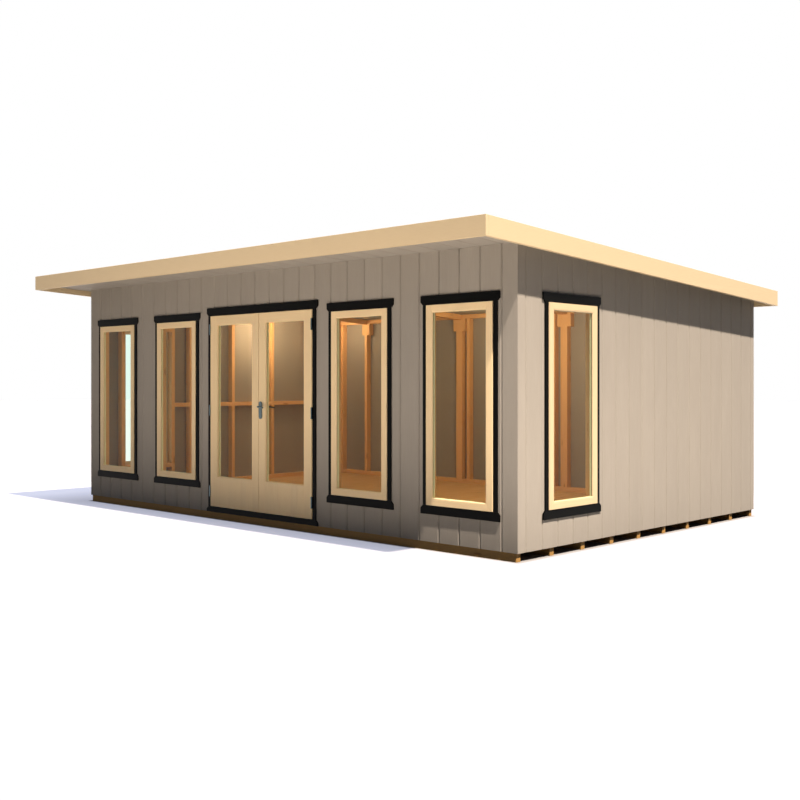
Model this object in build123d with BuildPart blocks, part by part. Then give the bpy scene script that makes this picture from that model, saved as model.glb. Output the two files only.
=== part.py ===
from build123d import *
import os

os.makedirs("parts", exist_ok=True)

# Millimetres. X runs along the front wall, Y from the front to the back, Z up.
# The origin is on the ground, under the middle of the roof.

# Walls, measured over their boards
wall_length = 5740.0
wall_depth = 3770.0
boarding = 18.0
stud_width = 45.0
stud_depth = 70.0
side_stud_pitch = 620.0
back_stud_offset = 605.0
middle_rail_top = 1050.0

# Floor
bearer_width = 50.0
bearer_height = 65.0
bearer_count = 10
bearer_setback = 8.0
floor_boarding = 28.0

# Roof, which falls to the back
front_overhang = 570.0
back_overhang = 166.0
side_overhang = 164.0
roof_fall = 242.0
fascia_height = 143.0
fascia_thickness = 28.0
fascia_upstand = 10.0
roof_covering = 50.0
roof_boarding = 28.0
beam_height = 60.0

# Posts in the back wall that carry the roof beams, which are as wide as their posts,
# and the two cheeks that hold each beam on its post
inner_beam_offset = 744.0
inner_beam_width = 88.0
outer_beam_offset = 2314.0
outer_beam_width = 44.0
cheek_width = 44.0
cheek_height = 195.0

# Windows, all of one size
window_width = 644.0
window_bottom = 348.0
window_top = 1880.0
frame_face_side = 65.0
frame_face_end = 58.0
frame_proud = 18.0
frame_seat = 14.0
bead_bevel = 9.0
glass_thickness = 14.0
glass_rebate = 10.0
glass_recess = 12.0
glass_gap = 0.3
window_fit = 2.0
inner_window_offset = 1273.0
outer_window_offset = 2334.0
side_window_offset = 684.0

# Black trims round the windows and the door
jamb_trim_width = 39.0
trim_thickness = 12.0
trim_overhang = 24.0
head_trim_height = 73.0
sill_trim_height = 70.0
trim_joint = 0.3

# Door opening, with two leaves that open outwards
doorway_width = 1428.0
doorway_bottom = 115.0
doorway_top = 1916.0
leaf_gap = 5.0
leaf_thickness = 44.0
leaf_proud = 18.0
leaf_bevel = 4.0
leaf_meeting_stile = 96.0
leaf_hinge_stile = 105.0
leaf_top_rail = 90.0
leaf_bottom_panel = 284.0
leaf_glass_recess = 20.0
lining_width = 45.0
lintel_height = 220.0
stop_depth = 15.0
sill_step = 12.0

# Hinges, three to a leaf
hinge_length = 100.0
hinge_radius = 6.0
hinge_pin_radius = 3.0
hinge_flange = 2.0
hinge_flange_depth = 34.0
hinge_gap = 0.5
hinge_from_top = 125.0
hinge_from_bottom = 142.0

# Lever handle on the right leaf
handle_offset = 33.0
handle_plate_width = 40.0
handle_plate_height = 156.0
handle_plate_thickness = 8.0
handle_plate_drop = 32.0
lever_height = 1070.0
lever_radius = 7.5
lever_neck = 45.0
lever_arm = 82.0
lever_droop = 8.0
lever_bend = 16.0
spindle_radius = 8.0
spindle_gap = 0.3

# Places worked out from the sizes above
roof_length = wall_length + 2 * side_overhang
roof_depth = front_overhang + wall_depth + back_overhang
roof_front = -roof_depth / 2
roof_back = roof_depth / 2
wall_front = roof_front + front_overhang
wall_back = wall_front + wall_depth
wall_end = wall_length / 2
frame_front = wall_front + boarding
frame_back = wall_back - boarding
frame_end = wall_end - boarding
room_front = frame_front + stud_depth
room_back = frame_back - stud_depth
room_end = frame_end - stud_depth
floor_top = bearer_height + floor_boarding
plate_top = floor_top + stud_width
doorway_end = doorway_width / 2
lining_top = doorway_top + lining_width

# The roof's height follows from the doorway: lintel, wall plate, beam, boards and covering
roof_slope = roof_fall / roof_depth
soffit_drop = fascia_upstand + roof_covering + roof_boarding
front_plate_bottom = lining_top + lintel_height
front_plate_drop = soffit_drop + beam_height
roof_top_over_plate = front_plate_bottom + stud_width + front_plate_drop
fascia_top_front = roof_top_over_plate + (room_front - roof_front) * roof_slope

# Windows, leaves and hinges
glass_width = window_width - 2 * frame_face_side
glass_bottom = window_bottom + frame_face_end
glass_top = window_top - frame_face_end
frame_depth = frame_proud + boarding
frame_seat_inside = window_width / 2 - frame_seat
trimmer_offset = frame_seat_inside + stud_width / 2
head_rail = (window_top - frame_seat, window_top - frame_seat + stud_width)
sill_rail = (window_bottom + frame_seat - stud_width, window_bottom + frame_seat)
leaf_face = wall_front - leaf_proud
leaf_back = leaf_face + leaf_thickness
leaf_bottom = doorway_bottom + leaf_gap
leaf_top = doorway_top - leaf_gap
leaf_outer = doorway_end - leaf_gap
leaf_inner = leaf_gap / 2
leaf_glass_bottom = leaf_bottom + leaf_bottom_panel
leaf_glass_top = leaf_top - leaf_top_rail
hinge_x = doorway_end - leaf_gap / 2
hinge_y = leaf_face - hinge_radius - hinge_gap
flange_back = hinge_y + hinge_flange_depth
knuckle = hinge_length / 3
hinge_heights = [
    leaf_bottom + hinge_from_bottom,
    (leaf_bottom + hinge_from_bottom + leaf_top - hinge_from_top) / 2,
    leaf_top - hinge_from_top,
]


def roof_top_at(y):
    """Height of the fascias' top edge at a place between front and back."""
    return fascia_top_front - (y - roof_front) * roof_slope


def soffit_at(y):
    """Height of the underside of the roof boards."""
    return roof_top_at(y) - soffit_drop


def block(x, y, z):
    """Add a square-cut piece between two values on each axis."""
    with Locations(((x[0] + x[1]) / 2, (y[0] + y[1]) / 2, (z[0] + z[1]) / 2)):
        Box(abs(x[1] - x[0]), y[1] - y[0], z[1] - z[0])


def section(x, points):
    """Add a piece with one outline in Y and Z, all the way between two X values."""
    with BuildSketch(Plane.YZ.offset(min(x))) as outline:
        with BuildLine():
            Polyline(*points, close=True)
        make_face()
    extrude(outline.sketch, amount=abs(x[1] - x[0]))


def up_to_roof(x, y, bottom, gap=0.0):
    """Add a piece that stands on one level and is cut to the roof's slope at its top."""
    top_back = soffit_at(y[1]) - gap
    top_front = soffit_at(y[0]) - gap
    section(x, [(y[0], bottom), (y[1], bottom), (y[1], top_back), (y[0], top_front)])


def under_roof(x, y, drop, height):
    """Add a piece that runs with the roof, a distance below the fascias' top edge."""
    front = roof_top_at(y[0]) - drop
    back = roof_top_at(y[1]) - drop
    section(x, [(y[0], front - height), (y[1], back - height), (y[1], back), (y[0], front)])


def save(builder, name):
    """Label a finished piece and write it out."""
    builder.part.label = name
    export_step(builder.part, "parts/" + name + ".step")


def both_sides(x):
    """The same X span on the right and on the left."""
    return [(x[0], x[1]), (-x[1], -x[0])]


# Each wall's outside face, seen from outside: local X to the right, local Y up
front_face = Plane(origin=(0, wall_front, 0), x_dir=(1, 0, 0), z_dir=(0, -1, 0))
right_face = Plane(origin=(wall_end, wall_front, 0), x_dir=(0, 1, 0), z_dir=(1, 0, 0))
left_face = Plane(origin=(-wall_end, wall_front, 0), x_dir=(0, -1, 0), z_dir=(-1, 0, 0))
side_window_y = wall_front + side_window_offset
front_windows = [-outer_window_offset, -inner_window_offset, inner_window_offset, outer_window_offset]


# Floor: bearers along the room, and the floor boards on them
with BuildPart() as floor_bearers:
    first_bearer = wall_front + bearer_setback + bearer_width / 2
    last_bearer = wall_back - bearer_setback - bearer_width / 2
    bearer_pitch = (last_bearer - first_bearer) / (bearer_count - 1)
    for number in range(bearer_count):
        middle = first_bearer + number * bearer_pitch
        span = (middle - bearer_width / 2, middle + bearer_width / 2)
        block((-frame_end, frame_end), span, (0, bearer_height))
save(floor_bearers, "floor_bearers")

with BuildPart() as floor_boards:
    block((-frame_end, frame_end), (frame_front, frame_back), (bearer_height, floor_top))
save(floor_boards, "floor_boards")


def cut_window(face, along):
    """Cut one window's hole through the boards of a wall."""
    with BuildSketch(face) as hole:
        with Locations((along, (window_bottom + window_top) / 2)):
            Rectangle(window_width + 2 * window_fit, window_top - window_bottom + 2 * window_fit)
    extrude(hole.sketch, amount=-boarding, mode=Mode.SUBTRACT)


# Boarded walls
for name, x, offsets in (
    ("front_wall_left", (-wall_end, -doorway_end), front_windows[:2]),
    ("front_wall_right", (doorway_end, wall_end), front_windows[2:]),
):
    with BuildPart() as front_wall:
        up_to_roof(x, (wall_front, frame_front), bearer_height)
        for offset in offsets:
            cut_window(front_face, offset)
    save(front_wall, name)

with BuildPart() as front_wall_over_door:
    up_to_roof((-doorway_end, doorway_end), (wall_front, frame_front), doorway_top)
save(front_wall_over_door, "front_wall_over_door")

for name, x, face, along in (
    ("left_wall", (-wall_end, -frame_end), left_face, -side_window_offset),
    ("right_wall", (frame_end, wall_end), right_face, side_window_offset),
):
    with BuildPart() as side_wall:
        up_to_roof(x, (frame_front, frame_back), bearer_height)
        cut_window(face, along)
    save(side_wall, name)

with BuildPart() as back_wall:
    up_to_roof((-wall_end, wall_end), (frame_back, wall_back), bearer_height)
save(back_wall, "back_wall")


# Studs and rails of the front wall, which carries the roof beams on its top plate
front_frame = (frame_front, room_front)
back_frame = (room_back, frame_back)
front_stud_middles = [
    doorway_end + lining_width + stud_width / 2,
    inner_window_offset - trimmer_offset,
    inner_window_offset + trimmer_offset,
    outer_window_offset - trimmer_offset,
    outer_window_offset + trimmer_offset,
    frame_end - stud_width / 2,
]
with BuildPart() as front_studs:
    for middle in front_stud_middles:
        for x in both_sides((middle - stud_width / 2, middle + stud_width / 2)):
            block(x, front_frame, (plate_top, front_plate_bottom))
save(front_studs, "front_studs")

with BuildPart() as front_rails:
    for x in both_sides((doorway_end + lining_width, frame_end)):
        block(x, front_frame, (floor_top, plate_top))
    for offset in front_windows:
        span = (offset - frame_seat_inside, offset + frame_seat_inside)
        block(span, front_frame, head_rail)
        block(span, front_frame, sill_rail)
    section((-frame_end, frame_end), [
        (frame_front, front_plate_bottom),
        (room_front, front_plate_bottom),
        (room_front, roof_top_at(room_front) - front_plate_drop),
        (frame_front, roof_top_at(frame_front) - front_plate_drop),
    ])
save(front_rails, "front_rails")

with BuildPart() as door_lintel:
    lintel_end = doorway_end + lining_width
    block((-lintel_end, lintel_end), front_frame, (lining_top, front_plate_bottom))
save(door_lintel, "door_lintel")

# Studs and rails of the side walls, between the front and back frames
middle_rail = (middle_rail_top - stud_width, middle_rail_top)
window_studs = [side_window_y - trimmer_offset, side_window_y + trimmer_offset]
side_studs = [room_front + stud_width / 2] + window_studs
wall_middle = (wall_front + wall_back) / 2
studs_before_middle = (wall_middle - window_studs[1] - stud_width) // side_stud_pitch
stud = wall_middle - studs_before_middle * side_stud_pitch
while stud < room_back - 1.5 * stud_width:
    side_studs.append(stud)
    stud += side_stud_pitch
side_studs.append(room_back - stud_width / 2)
for name, x in (
    ("left", (-frame_end, -room_end)),
    ("right", (room_end, frame_end)),
):
    with BuildPart() as studs:
        for middle in side_studs:
            up_to_roof(x, (middle - stud_width / 2, middle + stud_width / 2), plate_top, stud_width)
    save(studs, name + "_studs")
    with BuildPart() as rails:
        block(x, (room_front, room_back), (floor_top, plate_top))
        under_roof(x, (room_front, room_back), soffit_drop, stud_width)
        window_gap = (window_studs[0] + stud_width / 2, window_studs[1] - stud_width / 2)
        block(x, window_gap, head_rail)
        block(x, window_gap, sill_rail)
        for near, far in zip(side_studs[2:-1], side_studs[3:]):
            block(x, (near + stud_width / 2, far - stud_width / 2), middle_rail)
    save(rails, name + "_rails")

# Back wall: its posts stand in the wall's frame and carry the roof beams, each held between two cheeks
beams = [
    (-outer_beam_offset, outer_beam_width),
    (-inner_beam_offset, inner_beam_width),
    (inner_beam_offset, inner_beam_width),
    (outer_beam_offset, outer_beam_width),
]
cheek_bottom = soffit_at(room_back) - cheek_height
with BuildPart() as beam_posts:
    for middle, width in beams:
        up_to_roof((middle - width / 2, middle + width / 2), back_frame, plate_top, beam_height)
        for side in (-1, 1):
            edge = middle + side * width / 2
            up_to_roof(sorted((edge, edge + side * cheek_width)), back_frame, cheek_bottom)
save(beam_posts, "beam_posts")

with BuildPart() as roof_beams:
    for middle, width in beams:
        x = (middle - width / 2, middle + width / 2)
        under_roof(x, (frame_front, frame_back), soffit_drop, beam_height)
save(roof_beams, "roof_beams")

# Back studs: one at the middle, one beside each inner post, two in each outer bay, two in each corner
outer_bay = (outer_beam_offset - inner_beam_offset) / 3
back_studs = [0.0]
for offset in (
    back_stud_offset,
    inner_beam_offset + outer_bay,
    inner_beam_offset + 2 * outer_bay,
    room_end - stud_width / 2,
    frame_end - stud_width / 2,
):
    back_studs += [-offset, offset]
back_plate_bottom = soffit_at(frame_back) - stud_width
with BuildPart() as back_stud_row:
    for middle in back_studs:
        block((middle - stud_width / 2, middle + stud_width / 2), back_frame, (plate_top, back_plate_bottom))
save(back_stud_row, "back_studs")

# Back plates: the bottom one runs through, and the top one fills the bays between the cheeks
with BuildPart() as back_rails:
    block((-frame_end, frame_end), back_frame, (floor_top, plate_top))
    bay_start = -frame_end
    for middle, width in beams:
        reach = width / 2 + cheek_width
        up_to_roof((bay_start, middle - reach), back_frame, back_plate_bottom)
        bay_start = middle + reach
    up_to_roof((bay_start, frame_end), back_frame, back_plate_bottom)
save(back_rails, "back_rails")

# Roof boards, covering and fascias
deck_x = (-roof_length / 2 + fascia_thickness, roof_length / 2 - fascia_thickness)
deck_y = (roof_front + fascia_thickness, roof_back - fascia_thickness)
with BuildPart() as roof_boards:
    under_roof(deck_x, deck_y, fascia_upstand + roof_covering, roof_boarding)
save(roof_boards, "roof_boards")

with BuildPart() as roof_cover:
    under_roof(deck_x, deck_y, fascia_upstand, roof_covering)
save(roof_cover, "roof_covering")

whole_roof = (-roof_length / 2, roof_length / 2)
for name, x, y in (
    ("fascia_front", whole_roof, (roof_front, deck_y[0])),
    ("fascia_back", whole_roof, (deck_y[1], roof_back)),
    ("fascia_left", (whole_roof[0], deck_x[0]), deck_y),
    ("fascia_right", (deck_x[1], whole_roof[1]), deck_y),
):
    with BuildPart() as fascia:
        under_roof(x, y, 0.0, fascia_height)
    save(fascia, name)


def window_frame(face, along):
    """Add one window frame, bevelled round the glass outside and grooved for it."""
    middle = (along, (window_bottom + window_top) / 2)
    with BuildPart(mode=Mode.PRIVATE) as frame:
        with BuildSketch(face.offset(frame_proud)):
            with Locations(middle):
                Rectangle(window_width, window_top - window_bottom)
                Rectangle(glass_width, glass_top - glass_bottom, mode=Mode.SUBTRACT)
        extrude(amount=-frame_depth)
        outside = frame.faces().sort_by(Axis(face.origin, face.z_dir))[-1]
        chamfer(outside.inner_wires()[0].edges(), length=bead_bevel)
        with BuildSketch(face.offset(frame_proud - glass_recess + glass_gap)):
            with Locations(middle):
                Rectangle(
                    glass_width + 2 * glass_rebate + 2 * glass_gap,
                    glass_top - glass_bottom + 2 * glass_rebate + 2 * glass_gap,
                )
        extrude(amount=-glass_thickness - 2 * glass_gap, mode=Mode.SUBTRACT)
    return frame.part


def window_pane(face, along):
    """One pane, held in its frame's groove."""
    with BuildPart(mode=Mode.PRIVATE) as pane:
        with BuildSketch(face.offset(frame_proud - glass_recess)):
            with Locations((along, (window_bottom + window_top) / 2)):
                Rectangle(glass_width + 2 * glass_rebate, glass_top - glass_bottom + 2 * glass_rebate)
        extrude(amount=-glass_thickness)
    return pane.part


def cut_corner_bar(face, along, width, z, cut_side):
    """Add a head or sill trim: it runs past the jambs, with its two corners beside them cut off."""
    with BuildPart(mode=Mode.PRIVATE) as bar:
        with BuildSketch(face) as outline:
            with Locations((along, (z[0] + z[1]) / 2)):
                Rectangle(width + 2 * trim_overhang, z[1] - z[0])
            chamfer(outline.vertices().group_by(Axis.Y)[cut_side], length=trim_overhang)
        extrude(amount=trim_thickness)
    return bar.part


def trims(face, along, width, z):
    """Head, sill and two jamb trims round an opening of a width and height."""
    outer = width + 2 * jamb_trim_width
    head = (z[1] + trim_joint, z[1] + head_trim_height)
    sill = (z[0] - sill_trim_height, z[0] - trim_joint)
    pieces = [cut_corner_bar(face, along, outer, head, 0), cut_corner_bar(face, along, outer, sill, -1)]
    for side in (-1, 1):
        with BuildPart(mode=Mode.PRIVATE) as jamb:
            with BuildSketch(face):
                with Locations((along + side * (width + jamb_trim_width) / 2, (z[0] + z[1]) / 2)):
                    Rectangle(jamb_trim_width, z[1] - z[0])
            extrude(amount=trim_thickness)
        pieces.append(jamb.part)
    return pieces


# Windows: four in front and one in each side wall, all fixed
window_height_span = (window_bottom, window_top)
with BuildPart() as front_window_frames:
    for offset in front_windows:
        add(window_frame(front_face, offset))
save(front_window_frames, "front_window_frames")
with BuildPart() as window_glass:
    for offset in front_windows:
        add(window_pane(front_face, offset))
    add(window_pane(left_face, -side_window_offset))
    add(window_pane(right_face, side_window_offset))
save(window_glass, "window_glass")
with BuildPart() as front_window_trims:
    for offset in front_windows:
        add(trims(front_face, offset, window_width, window_height_span))
save(front_window_trims, "front_window_trims")

for name, face, along in (
    ("left", left_face, -side_window_offset),
    ("right", right_face, side_window_offset),
):
    with BuildPart() as frame:
        add(window_frame(face, along))
    save(frame, name + "_window_frame")
    with BuildPart() as trim:
        add(trims(face, along, window_width, window_height_span))
    save(trim, name + "_window_trims")


# Doorway: rebated lining behind the boards, black trims outside, threshold
stop_face = leaf_back + leaf_gap
stop_end = doorway_end - stop_depth
lining_outer = doorway_end + lining_width
with BuildPart() as door_lining:
    for side in (-1, 1):
        with BuildSketch(Plane.XY.offset(floor_top)):
            with BuildLine():
                Polyline(
                    (side * doorway_end, frame_front),
                    (side * lining_outer, frame_front),
                    (side * lining_outer, room_front),
                    (side * stop_end, room_front),
                    (side * stop_end, stop_face),
                    (side * doorway_end, stop_face),
                    close=True,
                )
            make_face()
        extrude(amount=doorway_top - stop_depth - trim_joint - floor_top)
    section((-lining_outer, lining_outer), [
        (frame_front, doorway_top),
        (stop_face, doorway_top),
        (stop_face, doorway_top - stop_depth),
        (room_front, doorway_top - stop_depth),
        (room_front, lining_top),
        (frame_front, lining_top),
    ])
save(door_lining, "door_lining")

with BuildPart() as door_sill:
    sill_end = stop_end - trim_joint
    section((-sill_end, sill_end), [
        (frame_front, floor_top),
        (room_front, floor_top),
        (room_front, doorway_bottom),
        (stop_face + sill_step, doorway_bottom + sill_step),
        (stop_face, doorway_bottom + sill_step),
        (stop_face, doorway_bottom),
        (frame_front, doorway_bottom),
    ])
save(door_sill, "door_sill")

trim_width = doorway_width + 2 * jamb_trim_width
with BuildPart() as door_trims:
    head_span = (doorway_top + trim_joint, doorway_top + head_trim_height)
    add(cut_corner_bar(front_face, 0.0, trim_width, head_span, 0))
    for x in both_sides((doorway_end, doorway_end + jamb_trim_width)):
        block(x, (wall_front - trim_thickness, wall_front), (doorway_bottom, doorway_top))
save(door_trims, "door_trims")

with BuildPart() as door_threshold:
    threshold_span = (bearer_height, doorway_bottom - trim_joint)
    add(cut_corner_bar(front_face, 0.0, trim_width, threshold_span, -1))
    block((-doorway_end, doorway_end), (wall_front, frame_front), threshold_span)
save(door_threshold, "door_threshold")


# Door leaves: the meeting edge is bevelled so that each leaf swings clear of the other
for name, side in (("left", -1), ("right", 1)):
    glass_x = (side * (leaf_inner + leaf_meeting_stile), side * (leaf_outer - leaf_hinge_stile))
    glass_middle = ((glass_x[0] + glass_x[1]) / 2, (leaf_glass_bottom + leaf_glass_top) / 2)
    glass_size = (abs(glass_x[1] - glass_x[0]), leaf_glass_top - leaf_glass_bottom)
    outside = front_face.offset(leaf_proud)
    with BuildPart() as leaf:
        with BuildSketch(Plane.XY.offset(leaf_bottom)):
            with BuildLine():
                Polyline(
                    (side * leaf_inner, leaf_face),
                    (side * leaf_outer, leaf_face),
                    (side * leaf_outer, leaf_back),
                    (side * (leaf_inner + leaf_bevel), leaf_back),
                    close=True,
                )
            make_face()
        extrude(amount=leaf_top - leaf_bottom)
        with BuildSketch(outside):
            with Locations(glass_middle):
                Rectangle(*glass_size)
        extrude(amount=-leaf_thickness, mode=Mode.SUBTRACT)
        front = leaf.faces().sort_by(Axis.Y)[0]
        chamfer(front.inner_wires()[0].edges(), length=bead_bevel)
        with BuildSketch(outside.offset(glass_gap - leaf_glass_recess)):
            with Locations(glass_middle):
                Rectangle(
                    glass_size[0] + 2 * glass_rebate + 2 * glass_gap,
                    glass_size[1] + 2 * glass_rebate + 2 * glass_gap,
                )
        extrude(amount=-glass_thickness - 2 * glass_gap, mode=Mode.SUBTRACT)
        if side == 1:
            with BuildSketch(outside):
                with Locations((handle_offset, lever_height)):
                    Circle(spindle_radius + spindle_gap)
            extrude(amount=-leaf_thickness, mode=Mode.SUBTRACT)
    save(leaf, name + "_door_leaf")
    with BuildPart() as pane:
        with BuildSketch(outside.offset(-leaf_glass_recess)):
            with Locations(glass_middle):
                Rectangle(glass_size[0] + 2 * glass_rebate, glass_size[1] + 2 * glass_rebate)
        extrude(amount=-glass_thickness)
    save(pane, name + "_door_glass")

    # Hinges: the middle knuckle turns with the leaf, on a pin held by the outer two
    pivot = (side * hinge_x, hinge_y)
    with BuildPart() as moving_hinge:
        for height in hinge_heights:
            low = height - knuckle / 2 + hinge_gap
            high = height + knuckle / 2 - hinge_gap
            edge = side * leaf_outer
            block((edge, edge + side * hinge_flange), (hinge_y, flange_back), (low, high))
            with BuildSketch(Plane.XY.offset(low)):
                with Locations(pivot):
                    Circle(hinge_radius)
            extrude(amount=high - low)
            with BuildSketch(Plane.XY.offset(low)):
                with Locations(pivot):
                    Circle(hinge_pin_radius + spindle_gap)
            extrude(amount=high - low, mode=Mode.SUBTRACT)
    save(moving_hinge, name + "_leaf_hinges")

with BuildPart() as jamb_hinges:
    for side in (-1, 1):
        pivot = (side * hinge_x, hinge_y)
        for height in hinge_heights:
            low = height - hinge_length / 2
            with BuildSketch(Plane.XY.offset(low)):
                with Locations(pivot):
                    Circle(hinge_pin_radius)
            extrude(amount=hinge_length)
            edge = side * doorway_end
            for start in (low, low + 2 * knuckle):
                block((edge - side * hinge_flange, edge), (hinge_y, flange_back), (start, start + knuckle))
                with BuildSketch(Plane.XY.offset(start)):
                    with Locations(pivot):
                        Circle(hinge_radius)
                extrude(amount=knuckle)
save(jamb_hinges, "jamb_hinges")


# Lever handle: a plate on each face, and one lever through both
with BuildPart() as handle_plates:
    for plane in (front_face.offset(leaf_proud), front_face.offset(leaf_proud - leaf_thickness)):
        outward = 1 if plane.origin.Y < wall_front else -1
        with BuildSketch(plane):
            with Locations((handle_offset, lever_height - handle_plate_drop)):
                SlotOverall(handle_plate_height, handle_plate_width, rotation=90)
            with Locations((handle_offset, lever_height)):
                Circle(spindle_radius + spindle_gap, mode=Mode.SUBTRACT)
        extrude(amount=outward * handle_plate_thickness)
save(handle_plates, "handle_plates")

with BuildPart() as door_lever:
    with BuildSketch(front_face.offset(leaf_proud + handle_plate_thickness + spindle_gap)):
        with Locations((handle_offset, lever_height)):
            Circle(spindle_radius)
    extrude(amount=-leaf_thickness - 2 * handle_plate_thickness - 2 * spindle_gap)
    for start, outward in ((leaf_face - handle_plate_thickness, -1), (leaf_back + handle_plate_thickness, 1)):
        neck_end = start + outward * (lever_neck - handle_plate_thickness)
        with BuildLine() as path:
            FilletPolyline(
                (handle_offset, start, lever_height),
                (handle_offset, neck_end, lever_height),
                (handle_offset + lever_arm, neck_end, lever_height - lever_droop),
                radius=lever_bend,
            )
        with BuildSketch(Plane(origin=path.line @ 0, z_dir=path.line % 0)):
            Circle(lever_radius)
        sweep(path=path.line)
save(door_lever, "door_lever")
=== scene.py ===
import math
from collections import namedtuple

import bmesh
import bpy
import numpy as np
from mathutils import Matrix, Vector


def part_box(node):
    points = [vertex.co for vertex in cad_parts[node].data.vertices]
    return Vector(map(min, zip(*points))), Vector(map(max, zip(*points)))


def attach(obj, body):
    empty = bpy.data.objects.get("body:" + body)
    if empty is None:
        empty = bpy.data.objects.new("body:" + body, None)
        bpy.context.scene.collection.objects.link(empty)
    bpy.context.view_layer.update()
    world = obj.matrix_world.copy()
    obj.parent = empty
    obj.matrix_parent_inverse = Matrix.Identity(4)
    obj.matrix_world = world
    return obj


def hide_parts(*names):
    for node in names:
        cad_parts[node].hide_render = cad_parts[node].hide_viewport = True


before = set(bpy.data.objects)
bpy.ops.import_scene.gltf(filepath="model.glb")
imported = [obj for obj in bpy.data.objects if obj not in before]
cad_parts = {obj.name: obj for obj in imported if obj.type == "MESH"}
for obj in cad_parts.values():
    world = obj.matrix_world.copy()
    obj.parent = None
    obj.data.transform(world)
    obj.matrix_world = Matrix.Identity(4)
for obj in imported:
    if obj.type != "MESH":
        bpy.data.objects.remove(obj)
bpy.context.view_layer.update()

# A timber garden room. Metres: X runs along the front wall, Y from the front to the back, Z up.
draws = np.random.default_rng(11)

# Wall and soffit boards: V joints with a fine open slit at the bottom, which narrows to slit_taper of its
# width. Of boards of every kind, a joint nearer to an edge than least_board of the pitch is left out.
board_pitch = 0.200
joint_width = 0.019
joint_depth = 0.0075
slit_width = 0.0018
slit_depth = 0.0105
slit_taper = 0.9
corner_to_joint = 0.1436
side_corner_to_joint = 0.101
least_board = 0.02

# Floor boards and the boards of the doors' lower panels
floor_pitch = 0.120
floor_joint_width = 0.004
floor_joint_depth = 0.0025
floor_slit_width = 0.0008
floor_slit_depth = 0.00375
panel_pitch = 0.0865
panel_joint_width = 0.004
panel_joint_depth = 0.0012
panel_slit_width = 0.0006
panel_slit_depth = 0.00192

# Roof covering: sheets side by side, each with a raised band where it laps over the next
sheet_pitch = 1.05
lap_width = 0.060
lap_lift = 0.003
lap_edge = 0.001

# Frames and leaves: stiles, rails and the beads that hold the glass
bead_width = 0.012
bead_bevel = 0.005
bead_set_back = 0.0008
bead_clearance = 0.0003
frame_face_side = 0.065
frame_face_end = 0.058
glass_recess = 0.012
leaf_glass_recess = 0.020
glass_thickness = 0.014
window_fit = 0.002
meeting_stile = 0.096
hinge_stile = 0.105
top_rail = 0.090
bottom_panel = 0.284
leaf_bevel = 0.004

# Eased edges: joinery, then lining and bearers, then studs, fascias and trims
fine_ease = 0.0010
middle_ease = 0.0015
broad_ease = 0.0020
eased_from = math.radians(25)

# Screws of the handle plates: each radius and height above the plate, from the rim over the dome
# and down into the recess for the driver
screw_profile = [(0.0034, -0.001), (0.0034, 0.0002), (0.0028, 0.0007), (0.0013, 0.0009), (0.0011, -0.0006)]
screw_inset = 0.014

# Copies of CAD nodes: points this near are one, faces this flat are one, and edges this sharp stay sharp
weld_distance = 0.00002
flat_angle = math.radians(0.5)
sharp_angle = math.radians(35)

# The range in which the heart of the tree lies from a timber: along it, across and through
heart_low = (0, -0.05, 0.03)
heart_high = (20, 0.05, 0.11)

# Places taken from the frame
wall_low, wall_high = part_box("front_wall_left")
back_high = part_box("back_wall")[1]
right_low, right_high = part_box("right_wall")
deck_low, deck_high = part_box("roof_boards")
cover_low, cover_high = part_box("roof_covering")
floor_low, floor_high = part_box("floor_boards")
doorway_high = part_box("front_wall_over_door")[0]
front_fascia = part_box("fascia_front")
back_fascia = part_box("fascia_back")
roof_slope = (front_fascia[1].z - back_fascia[1].z) / (back_fascia[0].y - front_fascia[0].y)


# One shape: its points, the corners of its faces in turn, how many corners each face has,
# each point's place in its own timber (along, across, through), a random shade for each timber,
# and for a board whether the point lies on its inside face
Shape = namedtuple("Shape", "points corners sides grain shade inside")

# The outside face of a wall, floor or roof, as four rows: right, up, inwards and the origin
front_face = np.array([(1, 0, 0), (0, 0, 1), (0, 1, 0), (0, wall_low.y, 0)])
back_face = np.array([(-1, 0, 0), (0, 0, 1), (0, -1, 0), (0, back_high.y, 0)])
right_face = np.array([(0, 1, 0), (0, 0, 1), (-1, 0, 0), (right_high.x, 0, 0)])
left_face = np.array([(0, -1, 0), (0, 0, 1), (1, 0, 0), (-right_high.x, 0, 0)])
floor_face = np.array([(1, 0, 0), (0, 1, 0), (0, 0, -1), (0, 0, floor_high.z)])
soffit_level = deck_low.z + deck_high.y * roof_slope
soffit_face = np.array([(-1, 0, 0), (0, 1, -roof_slope), (0, 0, 1), (0, 0, soffit_level)])
cover_level = cover_high.z + cover_low.y * roof_slope
cover_face = np.array([(1, 0, 0), (0, 1, -roof_slope), (0, 0, -1), (0, 0, cover_level)])


def soffit_at(y):
    """Height of the underside of the roof boards: it falls evenly towards the back."""
    return soffit_level - y * roof_slope


def upright_thickness(low, high):
    """Thickness of a roof layer, measured upright: the height of its box less what it falls."""
    return high.z - low.z - (high.y - low.y) * roof_slope


def place(face, points):
    """Points given as right, up and inwards on a face, in the row frame."""
    return points @ face[:3] + face[3]


def timber_grain(points, along, middle):
    """Each point's place in its timber: the distance along it, then across and through from its middle.
    A random shift puts the heart of the tree at another place beside each timber."""
    order = [along] + [axis for axis in range(3) if axis != along]
    return (points - middle)[..., order] + draws.uniform(heart_low, heart_high)


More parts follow.
